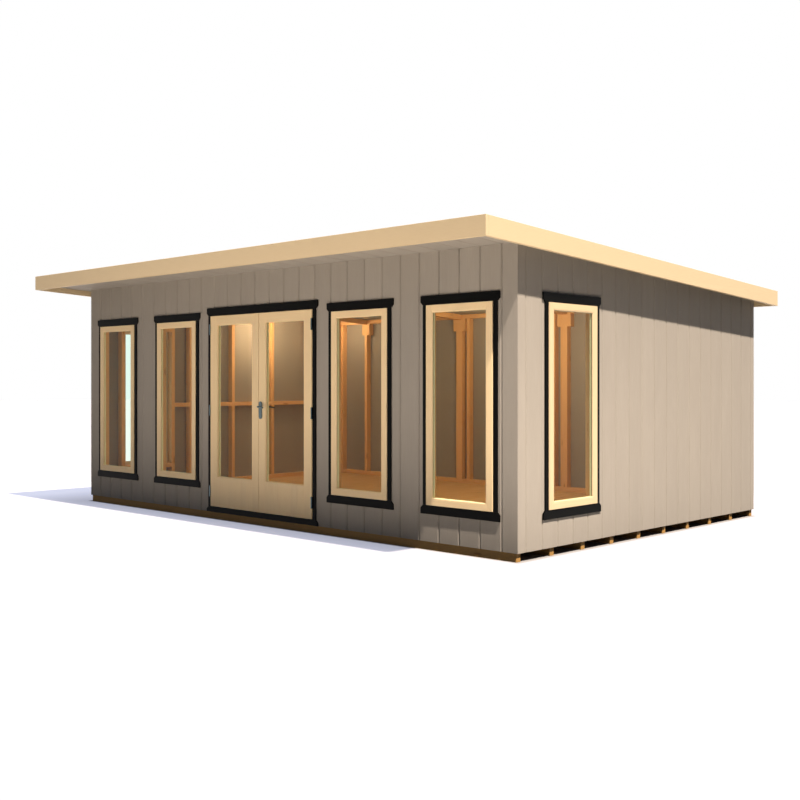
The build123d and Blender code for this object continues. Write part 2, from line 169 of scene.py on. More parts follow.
def panel(face, columns, depths, bottom, top, thickness, joints, holes=()):
    """Boards side by side as one closed sheet. Across the boards the outside lies at the given depths;
    along them it is straight from the bottom to top(u, depth). The inside is flat.
    Cells in a hole are left out, and a rim closes each edge where a kept cell meets an empty one."""
    hole_sides = [side for hole in holes for side in hole[0]]
    across = np.unique(np.concatenate([columns, hole_sides]))
    depth = np.interp(across, columns, depths)
    levels = np.unique([bottom] + [level for hole in holes for level in hole[1] if level > bottom])
    # The last level stands for the top, and is filled in below
    u, v = np.meshgrid(across, np.append(levels, 0.0), indexing="ij")
    outer_d = np.repeat(depth[:, None], v.shape[1], 1)
    inner_d = np.full_like(outer_d, thickness)
    outer_v, inner_v = v.copy(), v.copy()
    outer_v[:, -1] = top(across, depth)
    inner_v[:, -1] = top(across, thickness)
    local = np.stack([np.stack([u, outer_v, outer_d], -1), np.stack([u, inner_v, inner_d], -1)])
    middle_u = (across[:-1] + across[1:]) / 2
    middle_v = (outer_v[:, :-1] + outer_v[:, 1:])[0] / 2
    kept = np.ones((len(middle_u), len(middle_v)), bool)
    for (left, right), (low, high) in holes:
        kept &= ~np.outer((middle_u > left) & (middle_u < right), (middle_v > low) & (middle_v < high))
    outer = np.arange(u.size).reshape(u.shape)
    inner = outer + u.size
    quads = [np.stack([outer[:-1, :-1], outer[1:, :-1], outer[1:, 1:], outer[:-1, 1:]], -1)[kept]]
    quads.append(np.stack([inner[:-1, 1:], inner[1:, 1:], inner[1:, :-1], inner[:-1, :-1]], -1)[kept])
    padded = np.pad(kept, 1).astype(int)
    upright = padded[1:, 1:-1] - padded[:-1, 1:-1]
    level = padded[1:-1, 1:] - padded[1:-1, :-1]
    for sign in (1, -1):
        a = np.stack([outer[:, :-1], outer[:, 1:], inner[:, 1:], inner[:, :-1]], -1)[upright == sign]
        b = np.stack([outer[1:], outer[:-1], inner[:-1], inner[1:]], -1)[level == sign]
        quads += [a[:, ::sign], b[:, ::sign]]
    quads = np.concatenate(quads)
    used, quads = np.unique(quads, return_inverse=True)
    number = np.searchsorted(joints, across)
    edges = np.concatenate([[columns[0]], joints, [columns[-1]]])
    shift = draws.uniform(heart_low, heart_high, (len(joints) + 1, 3))[number]
    middle = ((edges[:-1] + edges[1:]) / 2)[number]
    grain = np.stack([local[..., 1], local[..., 0] - middle[:, None], local[..., 2]], -1)
    grain = grain + shift[:, None, :]
    shade = np.broadcast_to(draws.random(len(joints) + 1)[number][:, None], local.shape[:3])
    inside = np.broadcast_to(np.array([0.0, 1.0])[:, None, None], local.shape[:3])
    return Shape(
        place(face, local.reshape(-1, 3)[used]),
        quads.ravel(),
        np.full(len(quads.ravel()) // 4, 4),
        grain.reshape(-1, 3)[used],
        shade.ravel()[used],
        inside.ravel()[used],
    )


def jointed(start, end, first, pitch, section):
    """Columns and depths of boards between start and end, with a joint at first and every pitch from it.
    The section lists how far each point of a joint lies from its middle, and its depth."""
    joints = np.arange(first - math.floor((first - start) / pitch) * pitch, end, pitch)
    joints = joints[(joints > start + pitch * least_board) & (joints < end - pitch * least_board)]
    offsets, deep = np.array(section).T
    columns = np.concatenate([[start], (joints[:, None] + offsets).ravel(), [end]])
    depths = np.concatenate([[0.0], np.tile(deep, len(joints)), [0.0]])
    return columns, depths, joints


def vee(width, depth, slit, bottom):
    """The section of one joint: down a bevel, down the slit, and up again the same way."""
    half, open_half = width / 2, slit / 2
    left = [(-half, 0.0), (-open_half, depth), (-open_half * slit_taper, bottom)]
    return left + [(-offset, deep) for offset, deep in left[::-1]]


def closed_bar(rings, along, face):
    """A length of timber: rings of section points joined in turn, with both ends closed. along is the
    axis that the grain follows."""
    count, around = rings.shape[:2]
    index = np.arange(count * around).reshape(count, around)
    turned = np.roll(index, -1, 1)
    sides = np.stack([index[:-1], turned[:-1], turned[1:], index[1:]], -1).reshape(-1, 4)
    corners = np.concatenate([sides.ravel(), index[0, ::-1], index[-1]])
    points = rings.reshape(-1, 3)
    middle = (points.min(0) + points.max(0)) / 2
    return Shape(
        place(face, points),
        corners,
        np.concatenate([np.full(len(sides), 4), [around, around]]),
        timber_grain(points, along, middle),
        np.full(len(points), draws.random()),
        np.zeros(len(points)),
    )


def batten(u, v, d, along, face):
    """A square-sawn timber between two values on each of the face's axes: its section carried along one."""
    spans = np.array([u, v, d], float)
    first, second = [axis for axis in range(3) if axis != along]
    rings = np.zeros((2, 4, 3))
    rings[..., along] = spans[along][:, None]
    rings[..., first] = spans[first][[0, 1, 1, 0]]
    rings[..., second] = spans[second][[0, 0, 1, 1]]
    return closed_bar(rings, along, face)


def beads(u, v, section, face):
    """Four mitred beads round an opening. The section is measured out from the opening's edge and
    inwards from the face, and at each corner it is carried along both sides' diagonal."""
    out, deep = np.array(section).T
    corners = [(u[0], v[0], -1, -1), (u[1], v[0], 1, -1), (u[1], v[1], 1, 1), (u[0], v[1], -1, 1)]
    rings = np.array([
        np.stack([x + sx * out, z + sz * out, deep], -1) for x, z, sx, sz in corners
    ])
    pairs = [(0, 1, 0), (1, 2, 1), (2, 3, 0), (3, 0, 1)]
    return [closed_bar(rings[[start, end]], along, face) for start, end, along in pairs]


def turned_button(centre, axis, profile, sides=14):
    """A turned fitting: each radius and height of its profile carried round the axis."""
    axis = Vector(axis).normalized()
    across = axis.orthogonal().normalized()
    other = axis.cross(across)
    angle = np.linspace(0, 2 * math.pi, sides, endpoint=False)
    radius, height = np.array(profile).T
    circle = np.cos(angle)[:, None] * np.array(across) + np.sin(angle)[:, None] * np.array(other)
    rings = radius[:, None, None] * circle + height[:, None, None] * np.array(axis) + np.array(centre)
    return closed_bar(rings, 2, np.vstack([np.eye(3), np.zeros(3)]))


def put(name, shapes, finish, body, nodes=(), ease=0.0):
    """Make one piece of the object from shapes, with a finish and a body. It stands for the given CAD nodes,
    and its edges are eased by so much."""
    firsts = np.cumsum([0] + [len(shape.points) for shape in shapes[:-1]])
    corners = np.concatenate([shape.corners + first for shape, first in zip(shapes, firsts)])
    sides = np.concatenate([shape.sides for shape in shapes])
    points = np.concatenate([shape.points for shape in shapes])
    mesh = bpy.data.meshes.new(name)
    mesh.vertices.add(len(points))
    mesh.vertices.foreach_set("co", points.ravel())
    mesh.loops.add(len(corners))
    mesh.loops.foreach_set("vertex_index", corners.astype(np.int32))
    mesh.polygons.add(len(sides))
    mesh.polygons.foreach_set("loop_start", (np.cumsum(sides) - sides).astype(np.int32))
    mesh.update(calc_edges=True)
    mesh.shade_flat()
    set_timber(mesh, np.concatenate([s.grain for s in shapes]), np.concatenate([s.shade for s in shapes]))
    inside = mesh.attributes.new("inside", "FLOAT", "POINT")
    inside.data.foreach_set("value", np.concatenate([s.inside for s in shapes]))
    return finish_piece(name, mesh, finish, body, nodes, ease)


def set_timber(mesh, grain, shade):
    """Write each point's place in its timber and the timber's shade."""
    mesh.attributes.new("grain", "FLOAT_VECTOR", "POINT").data.foreach_set("vector", grain.ravel())
    mesh.attributes.new("shade", "FLOAT", "POINT").data.foreach_set("value", shade)


def finish_piece(name, mesh, finish, body, nodes, ease):
    """Turn the faces outwards, ease the edges, and hang the piece on its body."""
    work = bmesh.new()
    work.from_mesh(mesh)
    bmesh.ops.recalc_face_normals(work, faces=work.faces)
    work.to_mesh(mesh)
    work.free()
    mesh.materials.append(finish)
    piece = bpy.data.objects.new(name, mesh)
    bpy.context.scene.collection.objects.link(piece)
    if ease:
        bevel = piece.modifiers.new("eased edges", "BEVEL")
        bevel.width = ease
        bevel.segments = 2
        bevel.limit_method = "ANGLE"
        bevel.angle_limit = eased_from
    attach(piece, body)
    if nodes:
        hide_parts(*nodes)
    return piece


def points_of(mesh):
    """The points of a mesh as rows of X, Y and Z."""
    points = np.zeros(len(mesh.vertices) * 3)
    mesh.vertices.foreach_get("co", points)
    return points.reshape(-1, 3)


def whole_solids(mesh):
    """A number for each point that says which closed solid it belongs to: the lowest point number
    that can be reached along the edges, found by passing the lower number on until nothing changes."""
    ends = np.zeros(len(mesh.edges) * 2, np.int32)
    mesh.edges.foreach_get("vertices", ends)
    ends = ends.reshape(-1, 2)
    label = np.arange(len(mesh.vertices))
    while True:
        lower = np.minimum(label[ends[:, 0]], label[ends[:, 1]])
        settled = label.copy()
        np.minimum.at(settled, ends[:, 0], lower)
        np.minimum.at(settled, ends[:, 1], lower)
        if (settled == label).all():
            return label
        label = settled


def merged_copy(node):
    """A copy of a CAD node's mesh with its triangles joined and its flat faces made whole."""
    work = bmesh.new()
    work.from_mesh(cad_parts[node].data)
    bmesh.ops.remove_doubles(work, verts=work.verts, dist=weld_distance)
    bmesh.ops.dissolve_limit(work, angle_limit=flat_angle, verts=work.verts, edges=work.edges)
    mesh = bpy.data.meshes.new(node + "_copy")
    work.to_mesh(mesh)
    work.free()
    return mesh


def solid_boxes(node):
    """The lowest and highest corner of each closed solid of a node, from left to right."""
    mesh = merged_copy(node)
    points = points_of(mesh)
    label = whole_solids(mesh)
    boxes = [(points[label == n].min(0), points[label == n].max(0)) for n in np.unique(label)]
    return sorted(boxes, key=lambda box: box[0][0])


def dressed_copy(name, node, finish, body, ease=0.0, smooth=False):
    """A CAD node as it is, with eased edges or smooth curves, and with the grain along each timber."""
    mesh = merged_copy(node)
    points = points_of(mesh)
    label = whole_solids(mesh)
    grain, shade = np.zeros_like(points), np.zeros(len(points))
    for number in np.unique(label):
        own = points[label == number]
        along = int(np.argmax(own.max(0) - own.min(0)))
        grain[label == number] = timber_grain(own, along, (own.min(0) + own.max(0)) / 2)
        shade[label == number] = draws.random()
    set_timber(mesh, grain, shade)
    if smooth:
        mesh.shade_smooth()
        mesh.set_sharp_from_angle(angle=sharp_angle)
    return finish_piece(name, mesh, finish, body, (node,), ease)


def linear(colour):
    """A colour written as sRGB hex, as the linear red, green, blue and alpha that shaders take."""
    parts = [int(colour[start:start + 2], 16) / 255 for start in (1, 3, 5)]
    parts = [part / 12.92 if part <= 0.04045 else ((part + 0.055) / 1.055) ** 2.4 for part in parts]
    return (*parts, 1.0)


def add_node(tree, kind, settings=None, inputs=None):
    """Add a node, set what it does, and give each input a value or the socket that feeds it."""
    node = tree.nodes.new("ShaderNode" + kind)
    for key, value in (settings or {}).items():
        setattr(node, key, value)
    for key, value in (inputs or {}).items():
        if isinstance(value, bpy.types.NodeSocket):
            tree.links.new(value, node.inputs[key])
        else:
            node.inputs[key].default_value = value
    return node


def new_material(name):
    """An empty material and its node tree."""
    material = bpy.data.materials.new(name)
    material.use_nodes = True
    material.node_tree.nodes.clear()
    return material, material.node_tree


def timber(name, pale, dark, ring, streak, roughness, relief_depth, knots=0.0):
    """Softwood, cut from the log. The growth rings are circles round the tree's heart, which lies beside
    each timber, so that a face shows long lines and an end shows arcs. Slow noise bends them. Fibres are
    noise drawn out along the timber, and knots are dark spots in cells. In metres, ring is the space between
    rings, streak the width of a fibre and relief_depth the height of the grain. knots is their strength."""
    wave_repeat = math.pi / 10
    ring_strength, ring_relief = 0.5, -0.25
    fibre_strength, fibre_stretch = 0.9, 0.06
    bend_scale, bend_reach = (1.1, 7.0, 7.0), (0.0, 0.035, 0.035)
    knot_scale, knot_colour = (2.2, 9.0, 9.0), "#6b3f1d"
    material, tree = new_material(name)
    place_in = add_node(tree, "Attribute", {"attribute_name": "grain"}).outputs["Vector"]
    shade = add_node(tree, "Attribute", {"attribute_name": "shade"}).outputs["Fac"]
    slow = add_node(tree, "Mapping", inputs={"Vector": place_in, "Scale": bend_scale})
    bend = add_node(tree, "TexNoise", inputs={"Vector": slow.outputs[0], "Scale": 1.0, "Detail": 2.0})
    swing = add_node(tree, "VectorMath", {"operation": "MULTIPLY_ADD"}, {
        0: bend.outputs["Color"], 1: bend_reach, 2: place_in,
    })
    rings = add_node(tree, "TexWave", {
        "wave_type": "RINGS", "rings_direction": "X", "wave_profile": "SAW",
    }, {"Vector": swing.outputs[0], "Scale": wave_repeat / ring, "Distortion": 0.6, "Detail": 2.0})
    fine = add_node(tree, "Mapping", inputs={
        "Vector": place_in, "Scale": (fibre_stretch / streak, 1.0 / streak, 1.0 / streak),
    })
    fibres = add_node(tree, "TexNoise", inputs={
        "Vector": fine.outputs[0], "Scale": 1.0, "Detail": 4.0, "Roughness": 0.65,
    })
    late = add_node(tree, "MapRange", {"interpolation_type": "SMOOTHSTEP"}, {
        "Value": rings.outputs["Fac"], "From Min": 0.35, "From Max": 1.0,
    })
    lines = add_node(tree, "Math", {"operation": "MULTIPLY"}, {0: late.outputs[0], 1: ring_strength})
    marks = add_node(tree, "Math", {"operation": "MULTIPLY_ADD", "use_clamp": True}, {
        0: fibres.outputs["Fac"], 1: fibre_strength, 2: lines.outputs[0],
    })
    tone = add_node(tree, "MapRange", inputs={
        "Value": marks.outputs[0], "From Min": 0.25, "From Max": 1.0,
    })
    wood = add_node(tree, "Mix", {"data_type": "RGBA"}, {
        "Factor": tone.outputs[0], "A": linear(pale), "B": linear(dark),
    })
    if knots:
        apart = add_node(tree, "Mapping", inputs={"Vector": place_in, "Scale": knot_scale})
        cells = add_node(tree, "TexVoronoi", {"feature": "F1"}, {"Vector": apart.outputs[0], "Scale": 1.0})
        core = add_node(tree, "MapRange", {"interpolation_type": "SMOOTHSTEP"}, {
            "Value": cells.outputs["Distance"], "From Min": 0.05, "From Max": 0.13,
            "To Min": knots, "To Max": 0.0,
        })
        wood = add_node(tree, "Mix", {"data_type": "RGBA"}, {
            "Factor": core.outputs[0], "A": wood.outputs["Result"], "B": linear(knot_colour),
        })
    darker = add_node(tree, "MapRange", inputs={
        "Value": shade, "To Min": 0.97, "To Max": 1.02,
    })
    tinted = add_node(tree, "VectorMath", {"operation": "SCALE"}, {
        0: wood.outputs["Result"], "Scale": darker.outputs[0],
    })
    sheen = add_node(tree, "MapRange", inputs={
        "Value": fibres.outputs["Fac"], "To Min": roughness - 0.08, "To Max": roughness + 0.10,
    })
    height = add_node(tree, "Math", {"operation": "MULTIPLY_ADD"}, {
        0: late.outputs[0], 1: ring_relief, 2: fibres.outputs["Fac"],
    })
    relief = add_node(tree, "Bump", inputs={
        "Height": height.outputs[0], "Strength": 0.5, "Distance": relief_depth,
    })
    surface = add_node(tree, "BsdfPrincipled", inputs={
        "Base Color": tinted.outputs[0], "Roughness": sheen.outputs[0],
        "Normal": relief.outputs[0], "IOR": 1.5, "Specular IOR Level": 0.35,
    })
    add_node(tree, "OutputMaterial", inputs={"Surface": surface.outputs[0]})
    return material


def painted(name, paint, worn, roughness, streak, relief_depth, spread, shine, bare):
    """Timber under brushed paint. The fibres still show as fine streaks along each board, and the film
    varies a little over a hand's breadth. The inside face of a board is left bare. In metres, streak is
    the width of a fibre and relief_depth its height. spread is how far one board's shade may lie from
    the next, and shine how much the film mirrors."""
    fibre_stretch = 0.05
    film_scale = (2.0, 9.0, 9.0)
    inside_from = 0.98
    material, tree = new_material(name)
    place_in = add_node(tree, "Attribute", {"attribute_name": "grain"}).outputs["Vector"]
    shade = add_node(tree, "Attribute", {"attribute_name": "shade"}).outputs["Fac"]
    fine = add_node(tree, "Mapping", inputs={
        "Vector": place_in, "Scale": (fibre_stretch / streak, 1.0 / streak, 1.0 / streak),
    })
    fibres = add_node(tree, "TexNoise", inputs={
        "Vector": fine.outputs[0], "Scale": 1.0, "Detail": 3.0, "Roughness": 0.6,
    })
    broad = add_node(tree, "Mapping", inputs={"Vector": place_in, "Scale": film_scale})
    film = add_node(tree, "TexNoise", inputs={"Vector": broad.outputs[0], "Scale": 1.0, "Detail": 3.0})
    mixed = add_node(tree, "Math", {"operation": "MULTIPLY"}, {
        0: fibres.outputs["Fac"], 1: film.outputs["Fac"],
    })
    share = add_node(tree, "MapRange", inputs={
        "Value": mixed.outputs[0], "From Min": 0.12, "From Max": 0.42, "To Min": 0.0, "To Max": 1.0,
    })
    coat = add_node(tree, "Mix", {"data_type": "RGBA"}, {
        "Factor": share.outputs[0], "A": linear(worn), "B": linear(paint),
    })
    inside = add_node(tree, "Attribute", {"attribute_name": "inside"}).outputs["Fac"]
    within = add_node(tree, "Math", {"operation": "GREATER_THAN"}, {0: inside, 1: inside_from})
    coat = add_node(tree, "Mix", {"data_type": "RGBA"}, {
        "Factor": within.outputs[0], "A": coat.outputs["Result"], "B": linear(bare),
    })
    darker = add_node(tree, "MapRange", inputs={
        "Value": shade, "To Min": 1.0 - spread, "To Max": 1.0 + spread,
    })
    tinted = add_node(tree, "VectorMath", {"operation": "SCALE"}, {
        0: coat.outputs["Result"], "Scale": darker.outputs[0],
    })
    sheen = add_node(tree, "MapRange", inputs={
        "Value": film.outputs["Fac"], "To Min": roughness - 0.07, "To Max": roughness + 0.07,
    })
    relief = add_node(tree, "Bump", inputs={
        "Height": fibres.outputs["Fac"], "Strength": 0.5, "Distance": relief_depth,
    })
    surface = add_node(tree, "BsdfPrincipled", inputs={
        "Base Color": tinted.outputs[0], "Roughness": sheen.outputs[0],
        "Normal": relief.outputs[0], "IOR": 1.5, "Specular IOR Level": shine,
    })
    add_node(tree, "OutputMaterial", inputs={"Surface": surface.outputs[0]})
    return material


def window_pane_glass():
    """Float glass with a coating against glare: clear, faintly green, smooth and hard. The coating is
    why its index is low and it mirrors little. Light from lamps passes straight through it."""
    faint_green = linear("#f2fff8")
    material, tree = new_material("float_glass")
    glass = add_node(tree, "BsdfPrincipled", inputs={
        "Base Color": faint_green, "Roughness": 0.0, "IOR": 1.12, "Transmission Weight": 1.0,
    })
    clear = add_node(tree, "BsdfTransparent", inputs={"Color": faint_green})
    rays = add_node(tree, "LightPath")
    both = add_node(tree, "MixShader", inputs={
        0: rays.outputs["Is Shadow Ray"], 1: glass.outputs[0], 2: clear.outputs[0],
    })
    add_node(tree, "OutputMaterial", inputs={"Surface": both.outputs[0]})
    return material


def satin_steel():
    """Satin stainless steel, brushed lengthwise: a soft blue-grey shine with fine upright scratches
    about 0.4 mm wide."""
    scratches_per_metre = (2500.0, 2500.0, 60.0)
    material, tree = new_material("satin_stainless_steel")
    place_in = add_node(tree, "TexCoord").outputs["Object"]
    drawn = add_node(tree, "Mapping", inputs={"Vector": place_in, "Scale": scratches_per_metre})
    scratches = add_node(tree, "TexNoise", inputs={"Vector": drawn.outputs[0], "Scale": 1.0, "Detail": 3.0})
    sheen = add_node(tree, "MapRange", inputs={
        "Value": scratches.outputs["Fac"], "To Min": 0.25, "To Max": 0.42,
    })
    relief = add_node(tree, "Bump", inputs={
        "Height": scratches.outputs["Fac"], "Strength": 0.2, "Distance": 0.00005,
    })
    surface = add_node(tree, "BsdfPrincipled", inputs={
        "Base Color": linear("#5d6a6c"), "Metallic": 1.0, "Roughness": sheen.outputs[0],
        "Normal": relief.outputs[0],
    })
    add_node(tree, "OutputMaterial", inputs={"Surface": surface.outputs[0]})
    return material


def rubber_sheet():
    """Rubber roofing sheet, laid loose: charcoal and matt, with pale dust in broad patches."""
    material, tree = new_material("rubber_roof_sheet")
    place_in = add_node(tree, "TexCoord").outputs["Object"]
    patches = add_node(tree, "TexNoise", inputs={"Vector": place_in, "Scale": 2.2, "Detail": 5.0})
    grit = add_node(tree, "TexNoise", inputs={"Vector": place_in, "Scale": 160.0, "Detail": 2.0})
    dust = add_node(tree, "MapRange", inputs={
        "Value": patches.outputs["Fac"], "From Min": 0.42, "From Max": 0.75, "To Max": 0.6,
    })
    colour = add_node(tree, "Mix", {"data_type": "RGBA"}, {
        "Factor": dust.outputs[0], "A": linear("#2d2f31"), "B": linear("#4b4c4b"),
    })
    relief = add_node(tree, "Bump", inputs={
        "Height": grit.outputs["Fac"], "Strength": 0.4, "Distance": 0.0006,
    })
    surface = add_node(tree, "BsdfPrincipled", inputs={
        "Base Color": colour.outputs["Result"], "Roughness": 0.72, "Normal": relief.outputs[0],
        "IOR": 1.5,
    })
    add_node(tree, "OutputMaterial", inputs={"Surface": surface.outputs[0]})
    return material


# Taupe paint on softwood boards: matt, with faint streaks, and bare inside
taupe_paint = painted(
    "taupe_paint_on_boards", "#a6a096", "#a09a90",
    roughness=0.62, streak=0.006, relief_depth=0.0005, spread=0.02, shine=0.15, bare="#968a7c",
)
# Black satin paint on the trims: the grain shows only where light grazes it
black_paint = painted(
    "black_satin_paint", "#060605", "#0a0a08",
    roughness=0.50, streak=0.005, relief_depth=0.0004, spread=0.1, shine=0.05, bare="#0a0a08",
)
# Planed spruce, left natural: smooth and pale, on the fascias, on the doors and front windows, and on the
# side windows. Its copy on the doors and front windows is painted lighter, to make up for the shade on the
# front. Its copy on the side windows is painted a shade darker, to make up for the sun on them
planed_pale = timber(
    "planed_spruce_pale", "#dac7a2", "#d5c09b",
    ring=0.009, streak=0.004, roughness=0.52, relief_depth=0.0003,
)
# Joinery of the doors and front windows, painted lighter to make up for the shade on the front
joinery = timber(
    "planed_spruce_joinery", "#f9e0b1", "#f6dbab",
    ring=0.008, streak=0.003, roughness=0.50, relief_depth=0.0003,
)
# The same joinery, painted a shade darker to make up for the sun on the side windows
side_window_joinery_darkened_for_sun = timber(
    "planed_spruce_side_window_joinery_darkened_for_sun", "#ddc69e", "#d6bf98",
    ring=0.008, streak=0.003, roughness=0.50, relief_depth=0.0003,
)
# Sawn spruce of the wall frames and beams: warmer, rough and with knots
sawn = timber(
    "sawn_spruce_framing", "#e2b07a", "#d29c62",
    ring=0.010, streak=0.004, roughness=0.68, relief_depth=0.0008, knots=0.4,
)
# Planed pine of the floor: redder, with clear rings and dark knots
floor_wood = timber(
    "planed_pine_floor", "#dcb27b", "#c18e54",
    ring=0.009, streak=0.003, roughness=0.50, relief_depth=0.0003, knots=0.6,
)
# Sawn softwood of the bearers: browner and rougher than the rest
bearer_wood = timber(
    "sawn_bearer_timber", "#bf9659", "#9f7a47",
    ring=0.010, streak=0.004, roughness=0.70, relief_depth=0.0008, knots=0.6,
)
pane_glass = window_pane_glass()
steel = satin_steel()
rubber = rubber_sheet()


def wall_hole(box, axis):
    """The hole in a wall for one window frame: its box and the fit all round."""
    across = (box[0][axis] - window_fit, box[1][axis] + window_fit)
    upright = (box[0][2] - window_fit, box[1][2] + window_fit)
    return across, upright


def boarded_walls():
    """Front, side and back walls of upright boards, with their windows left open. The doorway's hole
    starts below the boards, so that it is open at its foot."""
    section = vee(joint_width, joint_depth, slit_width, slit_depth)
    thickness = wall_high.y - wall_low.y
    bottom = wall_low.z
    end = right_high.x
    window_holes = [wall_hole(box, 0) for box in solid_boxes("front_window_frames")]
    doorway = ((doorway_high.x, -doorway_high.x), (bottom - 1, doorway_high.z))
    columns, depths, joints = jointed(-end, end, end - corner_to_joint, board_pitch, section)
    put("front_wall_boards", [panel(
        front_face, columns, depths, bottom, lambda u, d: soffit_at(wall_low.y + d),
        thickness, joints, window_holes + [doorway],
    )], taupe_paint, "cabin", (
        "front_wall_left", "front_wall_over_door", "front_wall_right",
    ))
    put("back_wall_boards", [panel(
        back_face, columns, depths, bottom, lambda u, d: soffit_at(back_high.y - d),
        thickness, joints,
    )], taupe_paint, "cabin", ("back_wall",))
    first = wall_low.y + side_corner_to_joint
    columns, depths, joints = jointed(right_low.y, right_high.y, first, board_pitch, section)
    hole = wall_hole(solid_boxes("right_window_frame")[0], 1)
    put("right_wall_boards", [panel(
        right_face, columns, depths, bottom, lambda u, d: soffit_at(u),
        thickness, joints, [hole],
    )], taupe_paint, "cabin", ("right_wall",))
    hole = ((-hole[0][1], -hole[0][0]), hole[1])
    put("left_wall_boards", [panel(
        left_face, -columns[::-1], depths[::-1], bottom, lambda u, d: soffit_at(-u),
        thickness, -joints[::-1], [hole],
    )], taupe_paint, "cabin", ("left_wall",))


def deck_and_covering():
    """Roof boards laid from front to back, jointed on their underside, and over them the roof sheets,
    each of which laps over the next in a raised band."""
    section = vee(joint_width, joint_depth, slit_width, slit_depth)
    span, reach = deck_high.x, deck_high.y
    columns, depths, joints = jointed(-span, span, span - corner_to_joint, board_pitch, section)
    put("roof_deck_boards", [panel(
        soffit_face, columns, depths, -reach, lambda u, d: reach,
        upright_thickness(deck_low, deck_high), joints,
    )], taupe_paint, "cabin", ("roof_boards",))
    laps = np.arange(-span + sheet_pitch, span, sheet_pitch)
    half = lap_width / 2
    band = [(-half, lap_lift), (lap_edge - half, 0.0), (half, 0.0), (half + lap_edge, lap_lift)]
    offsets, deep = np.array(band).T
    columns = np.concatenate([[-span], (laps[:, None] + offsets).ravel(), [span]])
    depths = np.concatenate([[lap_lift], np.tile(deep, len(laps)), [lap_lift]])
    put("roof_covering_sheets", [panel(
        cover_face, columns, depths, -reach, lambda u, d: reach,
        upright_thickness(cover_low, cover_high), laps,
    )], rubber, "cabin", ("roof_covering",))


def floor_covering():
    """Tongued floor boards laid across the bearers."""
    section = vee(floor_joint_width, floor_joint_depth, floor_slit_width, floor_slit_depth)
    columns, depths, joints = jointed(floor_low.x, floor_high.x, 0.0, floor_pitch, section)
    put("floor_boarding", [panel(
        floor_face, columns, depths, floor_low.y, lambda u, d: floor_high.y,
        floor_high.z - floor_low.z, joints,
    )], floor_wood, "cabin", ("floor_boards",))


def bead_sections(recess, thick):
    """The sections of the beads outside and inside the glass, which lies so far back in timber of this
    thickness. Each point is how far it lies out from the opening, and its depth."""
    outer_seat = recess - bead_clearance
    inner_seat = recess + glass_thickness + bead_clearance
    outer = [
        (0.0, bead_bevel), (bead_bevel, bead_set_back), (bead_width, bead_set_back),
        (bead_width, outer_seat), (0.0, outer_seat),
    ]
    inner = [
        (0.0, inner_seat), (bead_width, inner_seat), (bead_width, thick - bead_set_back),
        (0.0, thick - bead_set_back),
    ]
    return outer, inner


def glazed_frame(face, u, v, d):
    """Two stiles with rails between them, and the mitred beads that hold the glass on both sides."""
    inner = (u[0] + frame_face_side, u[1] - frame_face_side)
    clear = (v[0] + frame_face_end, v[1] - frame_face_end)
    stile = frame_face_side - bead_width
    shapes = [
        batten((u[0], u[0] + stile), v, d, 1, face),
        batten((u[1] - stile, u[1]), v, d, 1, face),
        batten((u[0] + stile, u[1] - stile), (v[0], clear[0] - bead_width), d, 0, face),
        batten((u[0] + stile, u[1] - stile), (clear[1] + bead_width, v[1]), d, 0, face),
    ]
    for section in bead_sections(glass_recess, d[1] - d[0]):
        shapes += beads(inner, clear, [(out, d[0] + deep) for out, deep in section], face)
    return shapes


def windows():
    """The frames of the four front windows and of the window in each side wall."""
    for name, node, face, axis, sign, finish in (
        ("front_window_joinery", "front_window_frames", front_face, 0, 1, joinery),
        # The side windows take the joinery copy that is painted darker for the sun
        ("right_window_joinery", "right_window_frame", right_face, 1, 1, side_window_joinery_darkened_for_sun),
        ("left_window_joinery", "left_window_frame", left_face, 1, -1, side_window_joinery_darkened_for_sun),
    ):
        shapes = []
        for low, high in solid_boxes(node):
            u = sorted((sign * low[axis], sign * high[axis]))
            outside = face[2] @ face[3]
            depth = sorted((face[2] @ low - outside, face[2] @ high - outside))
            shapes += glazed_frame(face, u, (low[2], high[2]), depth)
        put(name, shapes, finish, "cabin", (node,), fine_ease)


def door_leaf(name, side, body):
    """One leaf: hinge stile, meeting stile with its bevelled edge, top rail, boarded lower panel and
    beads. side is 1 for the leaf whose hinges are on the right, and -1 for the other."""
    low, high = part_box(name + "_door_leaf")
    face = front_face.copy()
    face[3, 1] = low.y
    thick = high.y - low.y
    meeting, hinge = (low.x, high.x) if side > 0 else (high.x, low.x)
    post_in = meeting + side * (meeting_stile - bead_width)
    post_out = hinge - side * (hinge_stile - bead_width)
    shapes = [batten(sorted((post_out, hinge)), (low.z, high.z), (0.0, thick), 1, face)]
    rings = np.zeros((2, 4, 3))
    rings[..., 1] = np.array([low.z, high.z])[:, None]
    rings[..., 0] = [meeting, post_in, post_in, meeting + side * leaf_bevel]
    rings[..., 2] = [0.0, 0.0, thick, thick]
    shapes.append(closed_bar(rings, 1, face))
    rail = sorted((post_in, post_out))
    clear_low, clear_high = low.z + bottom_panel, high.z - top_rail
    shapes.append(batten(rail, (clear_high + bead_width, high.z), (0.0, thick), 0, face))
    section = vee(panel_joint_width, panel_joint_depth, panel_slit_width, panel_slit_depth)
    columns, depths, joints = jointed(rail[0], rail[1], (rail[0] + rail[1]) / 2, panel_pitch, section)
    board_top = clear_low - bead_width
    shapes.append(panel(face, columns, depths, low.z, lambda u, d: board_top, thick, joints))
    opening = (rail[0] + bead_width, rail[1] - bead_width)
    for section in bead_sections(leaf_glass_recess, thick):
        shapes += beads(opening, (clear_low, clear_high), section, face)
    put(name + "_door_joinery", shapes, joinery, body, (name + "_door_leaf",), fine_ease)


